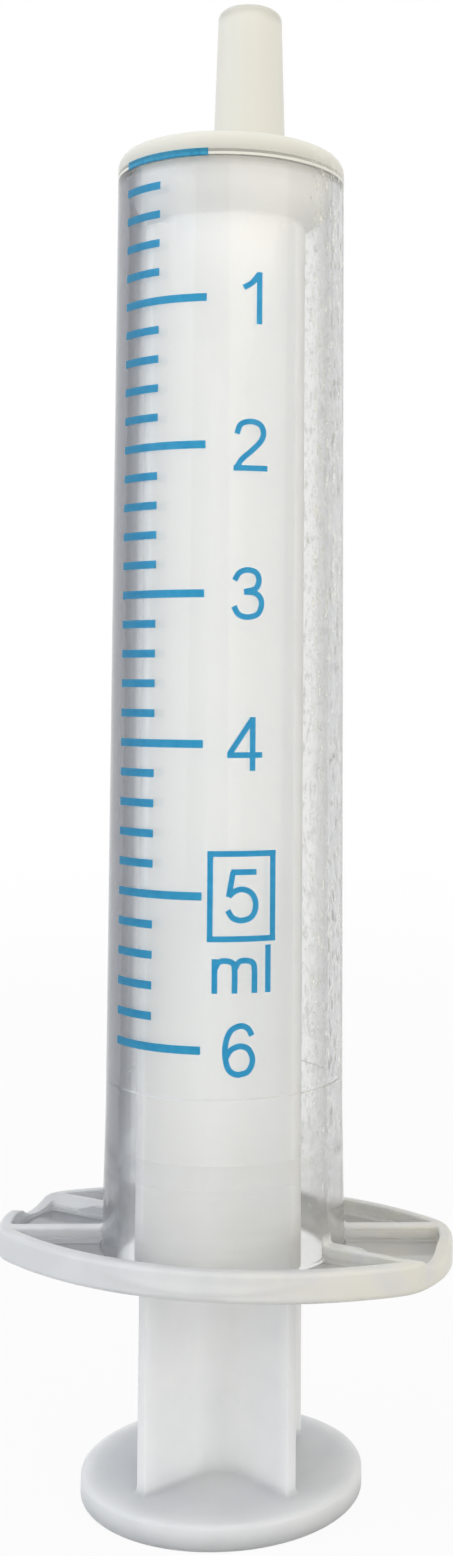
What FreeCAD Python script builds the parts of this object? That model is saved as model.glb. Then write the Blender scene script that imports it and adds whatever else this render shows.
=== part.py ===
import FreeCAD
import Part

import math
import os

from FreeCAD import Vector

# A two-piece luer slip syringe of 5 ml nominal size with a scale to 6 ml, standing on its thumb disc.
# Millimetres and degrees. The origin is the middle of the thumb disc's underside, +Z runs along the
# axis to the nozzle, X along the finger flange, and the scale is printed on the -Y side.

# Bore and scale
bore_diameter = 12.3
graduated_volume = 6.0
volume_step = 0.2
steps_per_long_mark = 5

# Barrel
wall_at_nozzle_end = 0.69
wall_at_foot = 0.78
end_wall = 1.45
run_out_length = 13.15
shoulder_radius = 0.9

# Mouth of the barrel: wider bore, retaining bead and lead-in
relief_length = 10.4
relief_depth = 0.04
bead_height = 1.3
bead_crest = 0.4
bead_depth = 0.12
bead_from_mouth = 5.4
mouth_lead_in = 0.45

# Luer slip nozzle, set off from the axis away from the scale
nozzle_length = 10.5
nozzle_offset = 3.4
nozzle_end_diameter = 3.95
luer_taper = 0.06
nozzle_edge_radius = 0.35
nozzle_foot_bevel = 0.2
channel_diameter = 1.6
channel_flare = 0.25

# Finger flange: a floor on the thumb side, with a rim and ribs that stand up towards the nozzle
flange_length = 27.0
flange_width = 16.4
flange_height = 1.7
flange_floor = 0.85
flange_side_radius = 20.7
flange_end_radius = 8.0
flange_corner_radius = 3.0
flange_edge_bevel = 0.3
rim_wall = 0.75
foot_flare_length = 7.0
foot_flare = 0.12
foot_bevel = 0.3
rib_thickness = 0.9
rib_angle = 15.5
scallop_width = 3.4
scallop_depth = 0.66
scallop_offset = 1.55

# Plunger: sealing head, cross-shaped stem and thumb disc
seal_clearance = 0.03
stop_gap = 0.05
head_thickness = 2.6
head_land = 0.65
head_corner_radius = 1.9
head_edge_bevel = 0.12
stem_clearance = 0.13
stem_rib_thickness = 0.72
stem_root_radius = 0.3
stem_shoulder_radius = 0.8
stem_turn = 59.3
thumb_gap = 11.7
disc_diameter = 16.2
disc_thickness = 1.4
disc_edge_bevel = 0.25

# Printed scale
ink_thickness = 0.03
mark_width = 0.45
mark_start_angle = -133.0
short_mark_end_angle = -108.0
long_mark_end_angle = -82.7

# Levels and radii that follow from the sizes above
bore_radius = bore_diameter / 2
length_per_ml = 1000 / (math.pi * bore_radius ** 2)
inner_length = graduated_volume * length_per_ml + run_out_length
mouth_z = disc_thickness + thumb_gap
end_wall_z = mouth_z + inner_length
shoulder_z = end_wall_z + end_wall
nozzle_z = shoulder_z + nozzle_length
floor_z = mouth_z + flange_floor
rim_z = mouth_z + flange_height
flare_z = rim_z + foot_flare_length
outer_radius_top = bore_radius + wall_at_nozzle_end
outer_radius_foot = bore_radius + wall_at_foot
foot_radius = outer_radius_foot + foot_flare
relief_radius = bore_radius + relief_depth
bead_radius = bore_radius - bead_depth
nozzle_end_radius = nozzle_end_diameter / 2
head_radius = bore_radius - seal_clearance
stem_radius = bead_radius - stem_clearance
head_z = end_wall_z - stop_gap
disc_radius = disc_diameter / 2

# How far a cutting body runs past what it cuts, and how near counts as touching
OVERCUT = 1.0
TOUCHING = 1e-4


def at(radius, z):
    """A point of a profile, radius from the axis and height."""
    return Vector(radius, 0, z)


def line(start, end):
    return Part.LineSegment(start, end).toShape()


def arc(start, middle, end):
    return Part.Arc(start, middle, end).toShape()


def quarter(centre, radius, start_angle, end_angle):
    """An arc in the XZ plane about a point, between two angles in degrees."""
    points = []
    for angle in (start_angle, (start_angle + end_angle) / 2, end_angle):
        turn = math.radians(angle)
        points.append(centre + Vector(radius * math.cos(turn), 0, radius * math.sin(turn)))
    return arc(*points)


def revolved(edges, centre=Vector(0, 0, 0)):
    """The solid that a closed profile in the XZ plane sweeps about the Z axis."""
    face = Part.Face(Part.Wire(edges))
    solid = face.revolve(Vector(0, 0, 0), Vector(0, 0, 1), 360)
    solid.translate(centre)
    return solid


def wall_radius(z):
    """Outer radius of the drafted barrel wall at a height."""
    share = (shoulder_z - z) / (shoulder_z - flare_z)
    return outer_radius_top + (outer_radius_foot - outer_radius_top) * share


def barrel_wall():
    """The solid outer form of the tube: rounded shoulder, drafted wall and the flare above the flange."""
    shoulder_centre = at(wall_radius(shoulder_z) - shoulder_radius, shoulder_z - shoulder_radius)
    side_top = shoulder_centre + Vector(shoulder_radius, 0, 0)
    flare_top = at(wall_radius(flare_z), flare_z)
    foot_top = at(foot_radius, floor_z + foot_bevel)
    foot_low = at(foot_radius + foot_bevel, floor_z)
    edges = [
        line(at(0, mouth_z), at(0, shoulder_z)),
        line(at(0, shoulder_z), shoulder_centre + Vector(0, 0, shoulder_radius)),
        quarter(shoulder_centre, shoulder_radius, 90, 0),
        line(side_top, flare_top),
        line(flare_top, foot_top),
        line(foot_top, foot_low),
        line(foot_low, at(foot_low.x, mouth_z)),
        line(at(foot_low.x, mouth_z), at(0, mouth_z)),
    ]
    return revolved(edges)


def nozzle():
    """The 6 per cent luer cone with its rounded end and bevelled foot."""
    def cone_radius(z):
        return nozzle_end_radius + (nozzle_z - z) * luer_taper / 2

    edge_z = nozzle_z - nozzle_edge_radius
    edge_centre = at(cone_radius(edge_z) - nozzle_edge_radius, edge_z)
    foot_top = at(cone_radius(shoulder_z + nozzle_foot_bevel), shoulder_z + nozzle_foot_bevel)
    foot_low = at(foot_top.x + nozzle_foot_bevel, shoulder_z)
    root_z = end_wall_z + end_wall / 2
    edges = [
        line(at(0, root_z), at(0, nozzle_z)),
        line(at(0, nozzle_z), edge_centre + Vector(0, 0, nozzle_edge_radius)),
        quarter(edge_centre, nozzle_edge_radius, 90, 0),
        line(edge_centre + Vector(nozzle_edge_radius, 0, 0), foot_top),
        line(foot_top, foot_low),
        line(foot_low, at(foot_low.x, root_z)),
        line(at(foot_low.x, root_z), at(0, root_z)),
    ]
    return revolved(edges, Vector(0, nozzle_offset, 0))


def channel():
    """The fluid way through the end wall and the nozzle, opened a little at the tip."""
    radius = channel_diameter / 2
    edges = [
        line(at(0, end_wall_z - OVERCUT), at(0, nozzle_z + OVERCUT)),
        line(at(0, nozzle_z + OVERCUT), at(radius + channel_flare, nozzle_z + OVERCUT)),
        line(at(radius + channel_flare, nozzle_z + OVERCUT), at(radius + channel_flare, nozzle_z)),
        line(at(radius + channel_flare, nozzle_z), at(radius, nozzle_z - channel_flare)),
        line(at(radius, nozzle_z - channel_flare), at(radius, end_wall_z - OVERCUT)),
        line(at(radius, end_wall_z - OVERCUT), at(0, end_wall_z - OVERCUT)),
    ]
    return revolved(edges, Vector(0, nozzle_offset, 0))


def bore():
    """The space inside the barrel: bore, wider mouth with the retaining bead in it, and lead-in."""
    relief_z = mouth_z + relief_length
    bead_low = mouth_z + bead_from_mouth
    bead_high = bead_low + bead_height
    crest_low = bead_low + (bead_height - bead_crest) / 2
    crest_high = crest_low + bead_crest
    below = mouth_z - OVERCUT
    edges = [
        line(at(0, below), at(0, end_wall_z)),
        line(at(0, end_wall_z), at(bore_radius, end_wall_z)),
        line(at(bore_radius, end_wall_z), at(bore_radius, relief_z)),
        line(at(bore_radius, relief_z), at(relief_radius, relief_z - relief_depth)),
        line(at(relief_radius, relief_z - relief_depth), at(relief_radius, bead_high)),
        line(at(relief_radius, bead_high), at(bead_radius, crest_high)),
        line(at(bead_radius, crest_high), at(bead_radius, crest_low)),
        line(at(bead_radius, crest_low), at(relief_radius, bead_low)),
        line(at(relief_radius, bead_low), at(relief_radius, mouth_z + mouth_lead_in)),
        line(at(relief_radius, mouth_z + mouth_lead_in), at(relief_radius + mouth_lead_in, mouth_z)),
        line(at(relief_radius + mouth_lead_in, mouth_z), at(relief_radius + mouth_lead_in, below)),
        line(at(relief_radius + mouth_lead_in, below), at(0, below)),
    ]
    return revolved(edges)


def outer_crossing(centre_a, radius_a, centre_b, radius_b):
    """The crossing of two circles in a level plane that has the larger X."""
    apart = centre_b - centre_a
    span = apart.Length
    along = (radius_a ** 2 - radius_b ** 2 + span ** 2) / (2 * span)
    across = math.sqrt(radius_a ** 2 - along ** 2)
    foot = centre_a + apart * (along / span)
    normal = Vector(-apart.y, apart.x, 0) * (across / span)
    return max((foot + normal, foot - normal), key=lambda point: point.x)


def flange_outline(inset, z):
    """The flange's outline as a face: two long arcs, two end arcs and four corner arcs."""
    side_centre = Vector(0, flange_width / 2 - flange_side_radius, 0)
    end_centre = Vector(flange_length / 2 - flange_end_radius, 0, 0)
    corner_centre = outer_crossing(side_centre, flange_side_radius - flange_corner_radius,
                                   end_centre, flange_end_radius - flange_corner_radius)

    def reach(centre, toward, radius):
        direction = toward - centre
        return centre + direction * (radius / direction.Length)

    corner_radius = flange_corner_radius - inset
    side_point = corner_centre + (corner_centre - side_centre).normalize() * corner_radius
    end_point = corner_centre + (corner_centre - end_centre).normalize() * corner_radius
    corner_middle = reach(corner_centre, (side_point + end_point) / 2, corner_radius)
    side_middle = Vector(0, flange_width / 2 - inset, 0)
    end_middle = Vector(flange_length / 2 - inset, 0, 0)

    def placed(point, sign_x, sign_y):
        return Vector(point.x * sign_x, point.y * sign_y, z)

    edges = [
        arc(placed(side_point, -1, 1), placed(side_middle, 1, 1), placed(side_point, 1, 1)),
        arc(placed(side_point, 1, 1), placed(corner_middle, 1, 1), placed(end_point, 1, 1)),
        arc(placed(end_point, 1, 1), placed(end_middle, 1, 1), placed(end_point, 1, -1)),
        arc(placed(end_point, 1, -1), placed(corner_middle, 1, -1), placed(side_point, 1, -1)),
        arc(placed(side_point, 1, -1), placed(side_middle, 1, -1), placed(side_point, -1, -1)),
        arc(placed(side_point, -1, -1), placed(corner_middle, -1, -1), placed(end_point, -1, -1)),
        arc(placed(end_point, -1, -1), placed(end_middle, -1, 1), placed(end_point, -1, 1)),
        arc(placed(end_point, -1, 1), placed(corner_middle, -1, 1), placed(side_point, -1, 1)),
    ]
    return Part.Face(Part.Wire(edges))


def level_edges(shape, z):
    """The edges of a shape that lie whole in the level plane at a height."""
    found = []
    for edge in shape.Edges:
        box = edge.BoundBox
        if abs(box.ZMin - z) < TOUCHING and abs(box.ZMax - z) < TOUCHING:
            found.append(edge)
    return found


def flange():
    """The finger flange: a bevelled slab, hollowed from above round four ribs, with two end scallops."""
    slab = flange_outline(0, mouth_z).extrude(Vector(0, 0, flange_height))
    slab = slab.makeChamfer(flange_edge_bevel, level_edges(slab, mouth_z) + level_edges(slab, rim_z))
    pocket = flange_outline(rim_wall, floor_z).extrude(Vector(0, 0, flange_height))
    pocket = pocket.cut(Part.makeCylinder(foot_radius, flange_height + OVERCUT, at(0, floor_z)))
    for angle in (rib_angle, -rib_angle, 180 + rib_angle, 180 - rib_angle):
        rib = Part.makeBox(flange_length, rib_thickness, flange_height + OVERCUT)
        rib.translate(Vector(0, -rib_thickness / 2, floor_z))
        rib.rotate(Vector(0, 0, 0), Vector(0, 0, 1), angle)
        pocket = pocket.cut(rib)
    hollowed = slab.cut(pocket)
    scallop_radius = (scallop_width ** 2 / 4 + scallop_depth ** 2) / (2 * scallop_depth)
    scallop_z = rim_z - scallop_depth + scallop_radius
    for side in (1, -1):
        start = Vector(side * (foot_radius + flange_length / 2) / 2, -side * scallop_offset, scallop_z)
        scallop = Part.makeCylinder(scallop_radius, flange_length / 2, start, Vector(side, 0, 0))
        hollowed = hollowed.cut(scallop)
    return hollowed


def barrel():
    """Tube, nozzle and finger flange, moulded as one."""
    outer = barrel_wall().fuse([flange(), nozzle()])
    return outer.cut([bore(), channel()]).removeSplitter()


def sealing_head():
    """The plunger's head: a land that seals on the bore over a rounded underside."""
    low_z = head_z - head_thickness
    corner_centre = at(head_radius - head_corner_radius, head_z - head_land)
    low_radius = corner_centre.x
    edges = [
        line(at(0, low_z), at(0, head_z)),
        line(at(0, head_z), at(head_radius - head_edge_bevel, head_z)),
        line(at(head_radius - head_edge_bevel, head_z), at(head_radius, head_z - head_edge_bevel)),
        line(at(head_radius, head_z - head_edge_bevel), at(head_radius, head_z - head_land)),
        quarter(corner_centre, head_corner_radius, 0, -90),
        line(at(low_radius, head_z - head_land - head_corner_radius), at(0, low_z)),
    ]
    return revolved(edges)


def stem_rib(angle):
    """One web of the stem through the axis, rounded off where it runs into the head."""
    shoulder_z_stem = head_z - head_thickness
    rounding = stem_shoulder_radius
    inner = stem_radius - rounding
    low = disc_thickness / 2
    edges = [
        line(at(-stem_radius, low), at(stem_radius, low)),
        line(at(stem_radius, low), at(stem_radius, shoulder_z_stem)),
        quarter(at(inner, shoulder_z_stem), rounding, 0, 90),
        line(at(inner, shoulder_z_stem + rounding), at(-inner, shoulder_z_stem + rounding)),
        quarter(at(-inner, shoulder_z_stem), rounding, 90, 180),
        line(at(-stem_radius, shoulder_z_stem), at(-stem_radius, low)),
    ]
    web = Part.Face(Part.Wire(edges)).extrude(Vector(0, stem_rib_thickness, 0))
    web.translate(Vector(0, -stem_rib_thickness / 2, 0))
    web.rotate(Vector(0, 0, 0), Vector(0, 0, 1), angle)
    return web


def stem():
    """The cross-shaped stem with rounded inner corners."""
    cross = stem_rib(stem_turn).fuse(stem_rib(stem_turn + 90)).removeSplitter()
    inner_edges = []
    for edge in cross.Edges:
        box = edge.BoundBox
        upright = box.ZLength > thumb_gap and max(box.XLength, box.YLength) < TOUCHING
        if upright and math.hypot(box.XMin, box.YMin) < stem_rib_thickness:
            inner_edges.append(edge)
    return cross.makeFillet(stem_root_radius, inner_edges)


def thumb_disc():
    """The round thumb rest with eased edges, which the syringe stands on."""
    disc = Part.makeCylinder(disc_radius, disc_thickness)
    return disc.makeChamfer(disc_edge_bevel, level_edges(disc, 0) + level_edges(disc, disc_thickness))


def plunger():
    """Head, stem and thumb disc, moulded as one."""
    return stem().fuse([thumb_disc(), sealing_head()]).removeSplitter()


def printed_mark(volume, end_angle):
    """One printed line of the scale: a thin film on the drafted wall."""
    z = end_wall_z - volume * length_per_ml
    high, low = z + mark_width / 2, z - mark_width / 2
    edges = [
        line(at(wall_radius(low), low), at(wall_radius(low) + ink_thickness, low)),
        line(at(wall_radius(low) + ink_thickness, low), at(wall_radius(high) + ink_thickness, high)),
        line(at(wall_radius(high) + ink_thickness, high), at(wall_radius(high), high)),
        line(at(wall_radius(high), high), at(wall_radius(low), low)),
    ]
    face = Part.Face(Part.Wire(edges))
    face.rotate(Vector(0, 0, 0), Vector(0, 0, 1), mark_start_angle)
    return face.revolve(Vector(0, 0, 0), Vector(0, 0, 1), end_angle - mark_start_angle)


def scale_print():
    """All the marks of the scale, a long one at each whole millilitre."""
    marks = []
    for step in range(round(graduated_volume / volume_step) + 1):
        whole = step % steps_per_long_mark == 0
        end_angle = long_mark_end_angle if whole else short_mark_end_angle
        marks.append(printed_mark(step * volume_step, end_angle))
    return Part.makeCompound(marks)


def main():
    os.makedirs("parts", exist_ok=True)
    for name, shape in (("barrel", barrel()), ("plunger", plunger()), ("scale_print", scale_print())):
        print(name, "valid", shape.isValid(), "solids", len(shape.Solids), "volume", round(shape.Volume, 2))
        shape.exportStep("parts/" + name + ".step")


main()
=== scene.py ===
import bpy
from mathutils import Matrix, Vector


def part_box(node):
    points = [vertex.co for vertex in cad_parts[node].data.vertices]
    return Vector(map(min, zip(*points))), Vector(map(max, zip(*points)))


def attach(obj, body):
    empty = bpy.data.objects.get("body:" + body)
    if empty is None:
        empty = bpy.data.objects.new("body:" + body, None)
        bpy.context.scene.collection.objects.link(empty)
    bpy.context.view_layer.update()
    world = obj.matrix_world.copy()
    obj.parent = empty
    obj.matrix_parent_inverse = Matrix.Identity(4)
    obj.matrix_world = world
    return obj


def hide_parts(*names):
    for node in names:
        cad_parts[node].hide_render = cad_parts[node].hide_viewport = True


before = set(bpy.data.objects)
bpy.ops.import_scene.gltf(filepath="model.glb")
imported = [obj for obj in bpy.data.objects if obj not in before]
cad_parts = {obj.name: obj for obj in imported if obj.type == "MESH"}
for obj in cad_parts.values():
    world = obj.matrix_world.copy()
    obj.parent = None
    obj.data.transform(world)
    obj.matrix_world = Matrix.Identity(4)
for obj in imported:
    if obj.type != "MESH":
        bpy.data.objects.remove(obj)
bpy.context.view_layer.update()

import math

import bmesh
import bpy
from mathutils import Euler, Vector
from mathutils.geometry import delaunay_2d_cdt

bl_info = {
    "name": "Luer Slip Syringe",
    "version": (1, 0, 0),
    "blender": (4, 5, 0),
    "location": "View3D > Sidebar > Syringe",
    "description": "Builds a clear two-piece syringe with its printed scale round the packed frame",
    "category": "Add Mesh",
}

MM = 0.001
BARREL_LOW, BARREL_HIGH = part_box("barrel")
PLUNGER_LOW, PLUNGER_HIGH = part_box("plunger")

# Sizes that the frame gives
MOUTH_Z = BARREL_LOW.z
NOZZLE_Z = BARREL_HIGH.z
HEAD_Z = PLUNGER_HIGH.z
FLANGE_LENGTH = BARREL_HIGH.x - BARREL_LOW.x
FLANGE_WIDTH = BARREL_HIGH.y - BARREL_LOW.y
DISC_RADIUS = (PLUNGER_HIGH.x - PLUNGER_LOW.x) / 2

# Small fillets and roundings of the two mouldings
NOZZLE_FILLET = 0.2 * MM
NOZZLE_TIP_ROUND = 0.6 * MM
FOOT_FLARE = 0.12 * MM
FOOT_ROUND = 0.25 * MM
RIM_ROUND = 0.1 * MM
LEAD_IN = 0.45 * MM
RELIEF_DEPTH = 0.04 * MM
STEM_FILLET = 0.25 * MM
NECK_FILLET = 0.4 * MM
HEAD_BEVEL = 0.12 * MM

# Patterns of the materials, by how many lie in a millimetre. Scuffs and the mould's grain are
# finer in life, and drawn this coarse so that they show
FLOW_CLOUD = MM / 0.42
SCUFF_WIDTH = MM / 3
SCUFF_LENGTH = MM / 1.2
PLUNGER_CLOUD = MM / 0.26
MOULD_GRAIN = MM / 4.5
INK_MOTTLE = MM / 2.2

# Direction of the side of the barrel that rubs in the pack and carries the scuffs. The opposite side has
# painted shade on the clear wall
SCUFF_AND_SHADE_AXIS = (0.947, 0.321, 0.0)

# Settings of the shader nodes that come often
MULTIPLY = {"operation": "MULTIPLY"}
MULTIPLY_ADD = {"operation": "MULTIPLY_ADD"}
COLOURS = {"data_type": "RGBA"}


def length(name, default, description):
    """A length in metres that a user may change."""
    return bpy.props.FloatProperty(
        name=name, description=description, default=default, min=0.0, precision=5,
        subtype="DISTANCE", unit="LENGTH")


def angle(name, degrees, description):
    return bpy.props.FloatProperty(
        name=name, description=description, default=math.radians(degrees),
        subtype="ANGLE", unit="ROTATION")


def share(name, default, description, highest=1.0):
    return bpy.props.FloatProperty(
        name=name, description=description, default=default, min=0.0, max=highest, subtype="FACTOR")


def colour(name, code, description):
    return bpy.props.StringProperty(name=name, description=description, default=code)


class BarrelSettings(bpy.types.PropertyGroup):
    bore_radius: length("Bore radius", 6.15 * MM, "Inside radius of the barrel")
    wall_at_top: length("Wall at the shoulder", 0.69 * MM, "Wall thickness at the nozzle end")
    wall_at_foot: length("Wall at the foot", 0.78 * MM, "Wall thickness above the flange")
    flare_height: length("Flare height", 7.0 * MM, "Height over the rim at which the wall starts to flare")
    end_wall: length("End wall", 1.45 * MM, "Thickness of the wall that carries the nozzle")
    shoulder_radius: length("Shoulder radius", 0.9 * MM, "Rounding between end wall and tube")
    nozzle_length: length("Nozzle length", 10.5 * MM, "How far the luer cone stands out")
    nozzle_offset: length("Nozzle offset", 3.4 * MM, "Distance of the nozzle from the axis")
    nozzle_end_radius: length("Nozzle end radius", 1.975 * MM, "Radius of the luer cone at its end")
    luer_slope: share("Luer slope", 0.03, "Rise of the cone's radius for its length")
    channel_radius: length("Channel radius", 0.8 * MM, "Radius of the fluid way")
    flange_height: length("Flange height", 1.7 * MM, "Height of the flange's rim")
    flange_floor: length("Flange floor", 0.85 * MM, "Thickness of the flange's floor")
    side_radius: length("Side radius", 20.7 * MM, "Radius of the flange's long sides")
    end_radius: length("End radius", 8.0 * MM, "Radius of the flange's ends")
    corner_radius: length("Corner radius", 3.0 * MM, "Radius of the flange's corners")
    rim_wall: length("Rim wall", 0.75 * MM, "Width of the rim round the flange")
    rib_width: length("Rib width", 0.9 * MM, "Width of the flange's ribs")
    rib_angle: angle("Rib angle", 15.5, "Angle of each rib to the flange's length")
    edge_radius: length("Edge radius", 0.3 * MM, "Rounding of the flange's outer edges")
    scallop_width: length("Scallop width", 3.4 * MM, "Width of the hollow in each end of the rim")
    scallop_depth: length("Scallop depth", 0.66 * MM, "Depth of that hollow")
    scallop_offset: length("Scallop offset", 1.55 * MM, "How far the hollow is off the middle")
    bead_depth: length("Bead depth", 0.03 * MM, "How far the retaining bead in the mouth stands in")
    nozzle_frost: share("Nozzle frost", 0.8, "How milky the nozzle and the shoulder are")
    flange_frost: share("Flange frost", 0.68, "How milky the flange's rim is")
    tint: colour("Tint", "#F7F8F8", "Colour of the clear wall, seen square on")
    # Painted shade: the clear wall's tint on the side opposite the scuffs
    painted_shade_tint: colour("Deep tint", "#D6D9DD", "The same on the side that looks deeper")
    edge_tint: colour("Edge tint", "#5A5E66", "Colour of the clear wall, seen at a slant")
    flange_milk: colour("Flange milk", "#DFE2E5", "Colour of the milky plastic at the flange")
    flange_deep: colour("Flange deep milk", "#D9DBDE", "The same where more light is lost inside it")
    # Painted light: the flange's milk warms towards +X as if lit by warm light
    flange_warm_light: colour("Flange warm milk", "#E2E1D9", "The same where the gate warms it")
    # Painted shade: the dark colour round the mouth
    mouth_painted_shade: colour("Mouth tint", "#3C4047", "Colour of the deep plastic round the mouth")
    nozzle_milk: colour("Nozzle milk", "#DFDFD7", "Colour of the milky plastic at the nozzle")
    haze: share("Haze", 0.06, "Share of light that the clear wall scatters")
    scuffs: share("Scuffs", 0.8, "How strongly the handling marks scatter")
    roughness: share("Roughness", 0.06, "Roughness of the moulded surface")


class PlungerSettings(bpy.types.PropertyGroup):
    rib_radius: length("Rib radius", 5.965 * MM, "Reach of the stem's ribs")
    rib_width: length("Rib width", 0.72 * MM, "Thickness of the stem's ribs")
    root_radius: length("Root radius", 2.0 * MM, "Rounding where the ribs meet")
    turn: angle("Turn", 59.3, "How far the stem is turned about the axis")
    head_radius: length("Head radius", 6.12 * MM, "Radius of the sealing head")
    head_land: length("Head land", 0.65 * MM, "Height of the land that seals")
    head_round: length("Head rounding", 2.2 * MM, "Radius of the head's underside")
    shoulder_round: length("Rib shoulder", 0.45 * MM, "Rounding of the ribs' upper corners")
    neck_radius: length("Neck radius", 4.5 * MM, "Radius of the neck under the head")
    neck_length: length("Neck length", 0.6 * MM, "Distance from the ribs' shoulders to the head")
    run_out: length("Run-out", 9.0 * MM, "Length over which the hollows between the ribs rise to the neck")
    disc_height: length("Disc height", 1.4 * MM, "Thickness of the thumb disc")
    disc_edge: length("Disc edge", 0.28 * MM, "Rounding of the thumb disc's edges")
    # Painted shade: the greyer colour at the foot and the thumb disc
    tint: colour("Tint", "#BDC1C7", "Colour of the thick thumb disc and the stem's foot")
    # Painted light: the paler colour up the stem and towards its axis
    pale_lit_tint: colour("Pale tint", "#F8F9F6", "Colour of the thin ribs")
    # Painted light: the head's lighter colour
    head_painted_light_tint: colour("Head tint", "#FFFEF6", "Colour of the sealing head")
    roughness: share("Roughness", 0.42, "Roughness of the moulded surface")


class PrintSettings(bpy.types.PropertyGroup):
    figure_height: length("Figure height", 3.0 * MM, "Height of the scale's figures")
    stroke: length("Stroke", 0.32 * MM, "Width of the figures' strokes")
    film: length("Film", 0.03 * MM, "Thickness of the ink")
    middle_angle: angle("Middle angle", -59.5, "Where the figures stand round the barrel, at the zero")
    skew: angle("Skew", -0.92, "How far the print drifts round the barrel for one millilitre")
    millilitre: length("Millilitre", 8.4158 * MM, "Length of the scale for one millilitre")
    zero: length("Zero", 76.7453 * MM, "Height of the scale's zero")
    unit_place: bpy.props.FloatProperty(
        name="Unit place", description="Volume at which the unit is printed", default=5.453)
    ink: colour("Ink", "#129AD0", "Colour of the blue ink")
    thin_ink: colour("Thin ink", "#46B6DE", "Colour of the ink where it covers less")


class StageSettings(bpy.types.PropertyGroup):
    floor_tint: colour("Floor", "#C8C8C8", "Colour of the floor")
    floor_white: share("Floor white", 0.93, "Share of the floor that is plain white near the object")
    key: bpy.props.FloatProperty(name="Key", description="Power of the soft main lamp", default=0.28)
    fill: bpy.props.FloatProperty(name="Fill", description="Power of the soft fill lamp", default=0.29)
    lamp_size: length("Lamp size", 0.27, "Side of both square lamps")
    sky: share("Sky", 0.88, "Strength of the light from all round", 2.0)


SETTINGS = {
    "syringe_barrel": BarrelSettings,
    "syringe_plunger": PlungerSettings,
    "syringe_print": PrintSettings,
    "syringe_stage": StageSettings,
}


def linear(code, alpha=1.0):
    """An sRGB hex colour as linear values."""
    values = []
    for place in (1, 3, 5):
        v = int(code[place:place + 2], 16) / 255
        values.append(v / 12.92 if v <= 0.04045 else ((v + 0.055) / 1.055) ** 2.4)
    return (*values, alpha)


def add_node(tree, kind, settings=None, **inputs):
    """Adds a shader node, sets its properties and inputs, and links inputs that are sockets or nodes.

    An input goes by its name, or by its number after an underscore. A node given as an input
    stands for its first output in use, and a hex code for its colour.
    """
    node = tree.nodes.new("ShaderNode" + kind)
    for name, value in (settings or {}).items():
        setattr(node, name, value)
    for name, value in inputs.items():
        socket = node.inputs[int(name[1:]) if name[1:].isdigit() else name.replace("_", " ")]
        if isinstance(value, bpy.types.Node):
            value = next(output for output in value.outputs if output.enabled)
        if isinstance(value, bpy.types.NodeSocket):
            tree.links.new(value, socket)
        else:
            socket.default_value = linear(value) if isinstance(value, str) else value
    return node


def new_material(name):
    """An empty node material with its output."""
    material = bpy.data.materials.new(name)
    material.use_nodes = True
    tree = material.node_tree
    tree.nodes.clear()
    return material, tree, tree.nodes.new("ShaderNodeOutputMaterial")


def pass_lamplight(tree, shader, passing, output):
    """Lets a share of the lamps' light straight through thin plastic or ink, and links the output."""
    path = add_node(tree, "LightPath")
    shadow = add_node(tree, "Math", MULTIPLY, _0=path.outputs["Is Shadow Ray"], _1=passing)
    through = add_node(tree, "BsdfTransparent", Color="#F4F4F4")
    mixed = add_node(tree, "MixShader", _0=shadow, _1=shader, _2=through)
    tree.links.new(mixed.outputs["Shader"], output.inputs["Surface"])


def seen_rays(tree):
    """A node that is 1 for what the camera sees, also in the gloss and through the clear plastic."""
    path = add_node(tree, "LightPath")
    seen = path.outputs["Is Camera Ray"]
    for ray in ("Is Glossy Ray", "Is Transmission Ray"):
        seen = add_node(tree, "Math", {"operation": "MAXIMUM"}, _0=seen, _1=path.outputs[ray])
    return seen


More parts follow.
